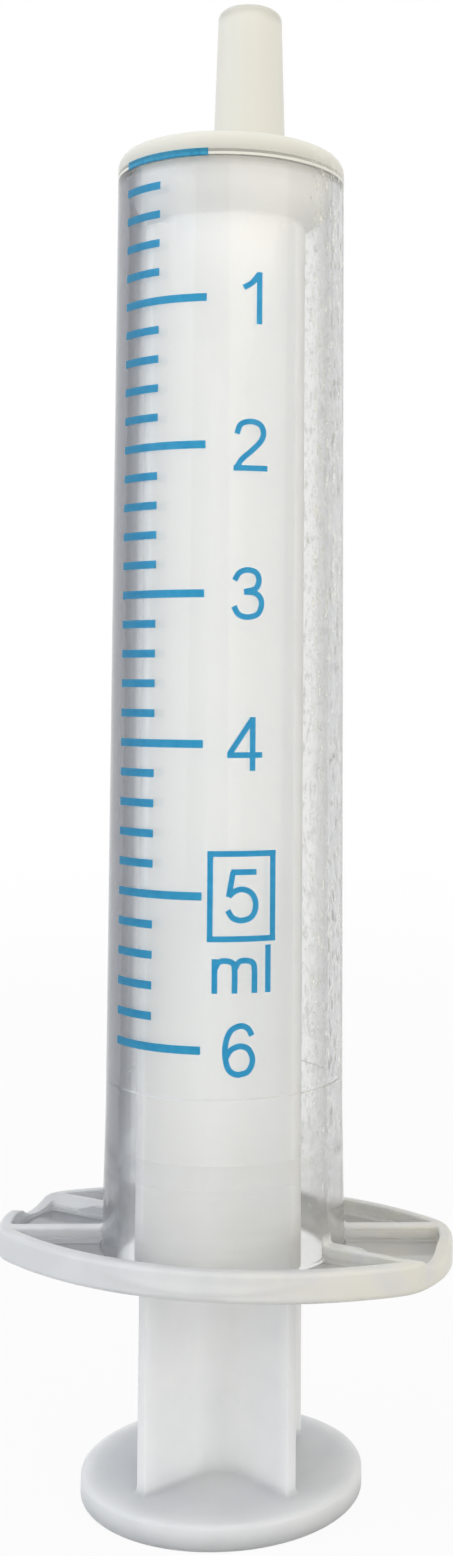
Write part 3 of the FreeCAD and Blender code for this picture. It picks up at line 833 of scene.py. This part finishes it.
class PlungerSkin:
    """The plunger's skin, ring by ring: thumb disc, cross-shaped stem, neck and sealing head."""

    def __init__(self, plunger):
        self.plunger = plunger
        self.turns = plunger_turns(plunger)
        self.rings = []
        self.land_z = HEAD_Z - plunger.head_land
        self.head_low = self.land_z - plunger.head_round
        self.shoulder_z = self.head_low - plunger.neck_length
        self.corner_z = self.shoulder_z - plunger.shoulder_round
        self.thumb_disc()
        self.stem()
        self.neck()
        self.head()

    def circles(self, points):
        for radius, z in points:
            self.rings.append([polar(radius, turn, z) for turn in self.turns])

    def cross(self, outset, z, rib_reach=None, fill=0.0):
        self.rings.append([polar(stem_radius_at(self.plunger, turn, outset, rib_reach, fill), turn, z)
                           for turn in self.turns])

    def thumb_disc(self):
        """The disc, and its top in to the foot of the stem's fillet."""
        edge = self.plunger.disc_edge
        top = self.plunger.disc_height
        flat_radius = DISC_RADIUS - edge
        self.circles([(flat_radius * part, 0.0) for part in (0.3, 0.65, 0.97)])
        self.circles(arc(flat_radius, edge, edge, 180, 90, 6))
        self.circles(arc(flat_radius, top - edge, edge, 90, 0, 6))
        for part in (0.03, 0.25, 0.5, 0.75, 0.96):
            ring = []
            for turn in self.turns:
                inner = stem_radius_at(self.plunger, turn, STEM_FILLET)
                ring.append(polar(flat_radius + (inner - flat_radius) * part, turn, top))
            self.rings.append(ring)

    def stem(self):
        """Fillet on the disc, straight ribs, and the run-out of the hollows between them."""
        foot_z = self.plunger.disc_height + STEM_FILLET
        for outset, z in arc(STEM_FILLET, foot_z, STEM_FILLET, 180, 270, 5):
            self.cross(outset, z)
        run_out = self.plunger.run_out
        hollow_z = self.corner_z - run_out
        for part in (0.02, 0.1, 0.25, 0.4, 0.55, 0.7, 0.85, 1.0):
            self.cross(0.0, foot_z + (hollow_z - foot_z) * part)
        run_out_steps = 14
        for step in range(1, run_out_steps + 1):
            part = step / run_out_steps
            smooth = part ** 2 * (3 - 2 * part)
            self.cross(0.0, hollow_z + (run_out - 0.02 * MM) * part, fill=smooth)

    def neck(self):
        """Rounded upper corners of the ribs, and the round neck up to the head."""
        corner = self.plunger.shoulder_round
        corners = arc(self.plunger.rib_radius - corner, self.corner_z, corner, 90, 0, 6)
        fillet = arc(self.plunger.neck_radius + NECK_FILLET, self.shoulder_z + 0.05 * MM + NECK_FILLET,
                     NECK_FILLET, 180, 270, 5)
        for reach, z in corners + fillet:
            self.cross(0.0, z, reach, 1.0)

    def underside(self, radius):
        """Height of the head's underside, which is nearly flat and then rounds up to the land."""
        flat = self.plunger.head_radius - self.plunger.head_round
        if radius < flat:
            return self.head_low - 0.05 * MM * (1 - radius / flat)
        return self.land_z - math.sqrt(max(0.0, self.plunger.head_round ** 2 - (radius - flat) ** 2))

    def head(self):
        """Underside from the neck outwards, land, bevel and front."""
        plunger = self.plunger
        for part in (0.0, 0.03, 0.15, 0.3, 0.45, 0.6, 0.72, 0.82, 0.9, 0.96, 0.99, 1.0):
            ring = []
            for turn in self.turns:
                start = stem_radius_at(plunger, turn, 0.0, plunger.neck_radius, 1.0)
                radius = start + (plunger.head_radius - start) * part
                ring.append(polar(radius, turn, self.underside(radius)))
            self.rings.append(ring)
        front_radius = plunger.head_radius - HEAD_BEVEL
        self.circles([(plunger.head_radius, self.land_z + 0.05 * MM)])
        self.circles(arc(front_radius, HEAD_Z - HEAD_BEVEL, HEAD_BEVEL, 90, 0, 4))
        self.circles([(front_radius * part, HEAD_Z) for part in (0.97, 0.65, 0.3)])


def bend(*points):
    """A smooth stroke through a few points."""
    path = [Vector(point) for point in points]
    path = [2 * path[0] - path[1]] + path + [2 * path[-1] - path[-2]]
    smooth = []
    for before, start, end, after in zip(path, path[1:], path[2:], path[3:]):
        for step in range(6):
            part = step / 6
            smooth.append(0.5 * (
                2 * start + (end - before) * part
                + (2 * before - 5 * start + 4 * end - after) * part ** 2
                + (3 * start - before - 3 * end + after) * part ** 3))
    return smooth + [path[-2]]


# Plain sans-serif figures as strokes, in a space one unit high with the figure's middle at x = 0
FIGURES = {
    "1": [[(0.115, 0.0), (0.115, 1.0)], bend((-0.19, 0.69), (-0.03, 0.79), (0.1, 0.955))],
    "2": [bend((-0.265, 0.705), (-0.19, 0.885), (0.0, 0.943), (0.18, 0.885), (0.245, 0.73), (0.19, 0.57),
               (0.02, 0.39), (-0.17, 0.22), (-0.265, 0.06)),
          [(-0.325, 0.057), (0.325, 0.057)]],
    "3": [bend((-0.25, 0.745), (-0.16, 0.89), (0.0, 0.943), (0.155, 0.89), (0.21, 0.745), (0.14, 0.59),
               (-0.07, 0.53)),
          bend((-0.07, 0.53), (0.12, 0.515), (0.23, 0.43), (0.262, 0.29), (0.19, 0.12), (0.0, 0.057),
               (-0.175, 0.11), (-0.262, 0.26))],
    "4": [[(0.145, 0.0), (0.145, 1.0)], [(0.13, 0.95), (-0.29, 0.31)], [(-0.33, 0.294), (0.33, 0.294)]],
    "5": [[(-0.2, 0.943), (0.27, 0.943)], [(-0.165, 0.95), (-0.245, 0.49)],
          bend((-0.245, 0.5), (-0.12, 0.6), (0.03, 0.625), (0.19, 0.54), (0.262, 0.34), (0.19, 0.13),
               (0.0, 0.057), (-0.17, 0.11), (-0.262, 0.245))],
    "6": [bend((0.24, 0.76), (0.165, 0.89), (0.03, 0.943), (-0.14, 0.87), (-0.235, 0.68), (-0.255, 0.42),
               (-0.2, 0.18), (-0.09, 0.08), (0.03, 0.057)),
          bend((0.0, 0.057), (0.17, 0.115), (0.255, 0.31), (0.18, 0.51), (0.02, 0.575), (-0.15, 0.51),
               (-0.245, 0.36))],
    "box": [[(-0.59, -0.28), (-0.59, 1.28)], [(0.59, -0.28), (0.59, 1.28)],
            [(-0.645, -0.28), (0.645, -0.28)], [(-0.645, 1.28), (0.645, 1.28)]],
    "ml": [[(-0.48, 0.0), (-0.48, 0.63)],
           bend((-0.48, 0.44), (-0.4, 0.57), (-0.27, 0.595), (-0.145, 0.55), (-0.11, 0.42), (-0.11, 0.0)),
           bend((-0.11, 0.44), (-0.03, 0.57), (0.1, 0.595), (0.225, 0.55), (0.26, 0.42), (0.26, 0.0)),
           [(0.52, 0.0), (0.52, 0.87)]],
}


def stroke_outline(points, width, scale):
    """A stroke as a closed outline, with points close enough together to follow the barrel."""
    longest = 0.3 * MM
    path = [Vector(point) * scale for point in points]
    dense = [path[0]]
    for before, after in zip(path, path[1:]):
        count = max(1, math.ceil((after - before).length / longest))
        dense += [before.lerp(after, step / count) for step in range(1, count + 1)]
    left, right = [], []
    for index, point in enumerate(dense):
        before = dense[max(0, index - 1)]
        after = dense[min(len(dense) - 1, index + 1)]
        way = (after - before).normalized()
        normal = Vector((-way.y, way.x)) * (width / 2)
        left.append(point + normal)
        right.append(point - normal)
    return right + left[::-1]


def printed_figure(figure, print_settings, barrel, volume, material):
    """One figure's strokes joined into a film of ink, laid round the barrel's wall at a volume."""
    points, faces = [], []
    for stroke in FIGURES[figure]:
        first = len(points)
        points += stroke_outline(stroke, print_settings.stroke, print_settings.figure_height)
        faces.append(list(range(first, len(points))))
    verts, _, cells, _, _, inside = delaunay_2d_cdt(points, [], faces, 0, 1e-7)
    triangles = [cell for cell, origin in zip(cells, inside) if origin]
    low_z = print_settings.zero - volume * print_settings.millilitre - print_settings.figure_height / 2
    middle = print_settings.middle_angle + print_settings.skew * volume

    def wrapped(point, lift):
        radius = wall_radius(barrel, low_z + point.y)
        return polar(radius + lift, middle + point.x / radius, low_z + point.y)

    build = bmesh.new()
    lower = [build.verts.new(wrapped(point, 0.004 * MM)) for point in verts]
    upper = [build.verts.new(wrapped(point, print_settings.film)) for point in verts]
    sides = {}
    for triangle in triangles:
        build.faces.new([upper[index] for index in triangle])
        build.faces.new([lower[index] for index in reversed(triangle)])
        for start, end in zip(triangle, list(triangle[1:]) + [triangle[0]]):
            key = (min(start, end), max(start, end))
            sides[key] = None if key in sides else (start, end)
    for pair in sides.values():
        if pair:
            start, end = pair
            build.faces.new((lower[start], lower[end], upper[end], upper[start]))
    bmesh.ops.delete(build, geom=[vert for vert in build.verts if not vert.link_faces], context="VERTS")
    piece = new_piece("figure_" + figure, build, material)
    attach(piece, "barrel")


def new_area(name, place, target, size, power, tint):
    """A soft square lamp that faces a point."""
    lamp = bpy.data.lights.new(name, "AREA")
    lamp.size = size
    lamp.energy = power
    lamp.color = linear(tint)[:3]
    item = new_object(name, lamp)
    item.location = place
    item.rotation_euler = (Vector(target) - Vector(place)).to_track_quat("-Z", "Y").to_euler()
    item.visible_glossy = False


def new_floor(settings):
    """A wide level floor under the object."""
    reach = 6.0
    mesh = bpy.data.meshes.new("floor")
    corners = [(-reach, -reach, 0), (reach, -reach, 0), (reach, reach, 0), (-reach, reach, 0)]
    mesh.from_pydata(corners, [], [(0, 1, 2, 3)])
    mesh.materials.append(matt_floor(settings))
    new_object("floor", mesh)


def new_camera():
    """The camera at the photograph's viewing angle."""
    data = bpy.data.cameras.new("camera")
    data.sensor_fit = "VERTICAL"
    data.sensor_height = 36.0
    data.lens = 41.05
    data.shift_x = -0.0912
    data.shift_y = -0.1394
    data.clip_start = 0.005
    data.clip_end = 50.0
    camera = new_object("camera", data)
    camera.location = (34.17 * MM, -100.99 * MM, 46.69 * MM)
    camera.rotation_euler = Euler((math.radians(93.819), math.radians(-0.135), math.radians(14.176)))
    return camera


class SYRINGE_OT_barrel(bpy.types.Operator):
    """Builds the clear barrel with its nozzle and finger flange"""
    bl_idname = "syringe.barrel"
    bl_label = "Build barrel"

    def execute(self, context):
        settings = context.scene.syringe_barrel
        skin = BarrelSkin(settings)
        finish = {"frost": skin.frost, "shade": skin.shade}
        piece = sleeve("barrel_shell", skin.rings, True, clear_polypropylene(settings), finish)
        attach(piece, "barrel")
        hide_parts("barrel")
        return {"FINISHED"}


class SYRINGE_OT_plunger(bpy.types.Operator):
    """Builds the white plunger with its head, stem and thumb disc"""
    bl_idname = "syringe.plunger"
    bl_label = "Build plunger"

    def execute(self, context):
        settings = context.scene.syringe_plunger
        piece = sleeve("plunger_body", PlungerSkin(settings).rings, False, white_polyethylene(settings))
        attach(piece, "plunger")
        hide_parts("plunger")
        return {"FINISHED"}


class SYRINGE_OT_scale(bpy.types.Operator):
    """Inks the scale's marks and prints its figures"""
    bl_idname = "syringe.scale"
    bl_label = "Print scale"

    def execute(self, context):
        settings = context.scene.syringe_print
        barrel = context.scene.syringe_barrel
        ink = blue_ink(settings)
        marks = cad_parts["scale_print"]
        marks.data.materials.clear()
        marks.data.materials.append(ink)
        for number in range(1, 7):
            printed_figure(str(number), settings, barrel, number, ink)
        printed_figure("box", settings, barrel, 5, ink)
        printed_figure("ml", settings, barrel, settings.unit_place, ink)
        return {"FINISHED"}


class SYRINGE_OT_stage(bpy.types.Operator):
    """Sets the floor, the soft light and the camera"""
    bl_idname = "syringe.stage"
    bl_label = "Set stage"

    def execute(self, context):
        settings = context.scene.syringe_stage
        scene = context.scene
        scene.view_settings.view_transform = "Standard"
        new_floor(settings)
        scene.world = white_room(settings)
        middle = (0, 0, NOZZLE_Z / 2)
        size = settings.lamp_size
        new_area("key_lamp", (-0.18, -0.15, 0.12), middle, size, settings.key, "#F4F8FF")
        new_area("fill_lamp", (0.17, -0.15, 0.10), middle, size, settings.fill, "#FFF3E0")
        scene.camera = new_camera()
        return {"FINISHED"}


class SYRINGE_PT_panel(bpy.types.Panel):
    """Lists the syringe's settings and the steps that build it"""
    bl_label = "Luer Slip Syringe"
    bl_idname = "SYRINGE_PT_panel"
    bl_space_type = "VIEW_3D"
    bl_region_type = "UI"
    bl_category = "Syringe"

    def draw(self, context):
        steps = {
            "syringe_stage": "syringe.stage",
            "syringe_barrel": "syringe.barrel",
            "syringe_plunger": "syringe.plunger",
            "syringe_print": "syringe.scale",
        }
        for name, step in steps.items():
            box = self.layout.box()
            settings = getattr(context.scene, name)
            for key in SETTINGS[name].__annotations__:
                box.prop(settings, key)
            box.operator(step)


CLASSES = (
    BarrelSettings, PlungerSettings, PrintSettings, StageSettings,
    SYRINGE_OT_barrel, SYRINGE_OT_plunger, SYRINGE_OT_scale, SYRINGE_OT_stage, SYRINGE_PT_panel,
)


def register():
    for item in CLASSES:
        bpy.utils.register_class(item)
    for name, group in SETTINGS.items():
        setattr(bpy.types.Scene, name, bpy.props.PointerProperty(type=group))


def unregister():
    for name in SETTINGS:
        delattr(bpy.types.Scene, name)
    for item in reversed(CLASSES):
        bpy.utils.unregister_class(item)


def main():
    register()
    bpy.ops.syringe.stage()
    bpy.ops.syringe.barrel()
    bpy.ops.syringe.plunger()
    bpy.ops.syringe.scale()


if __name__ == "__main__":
    main()
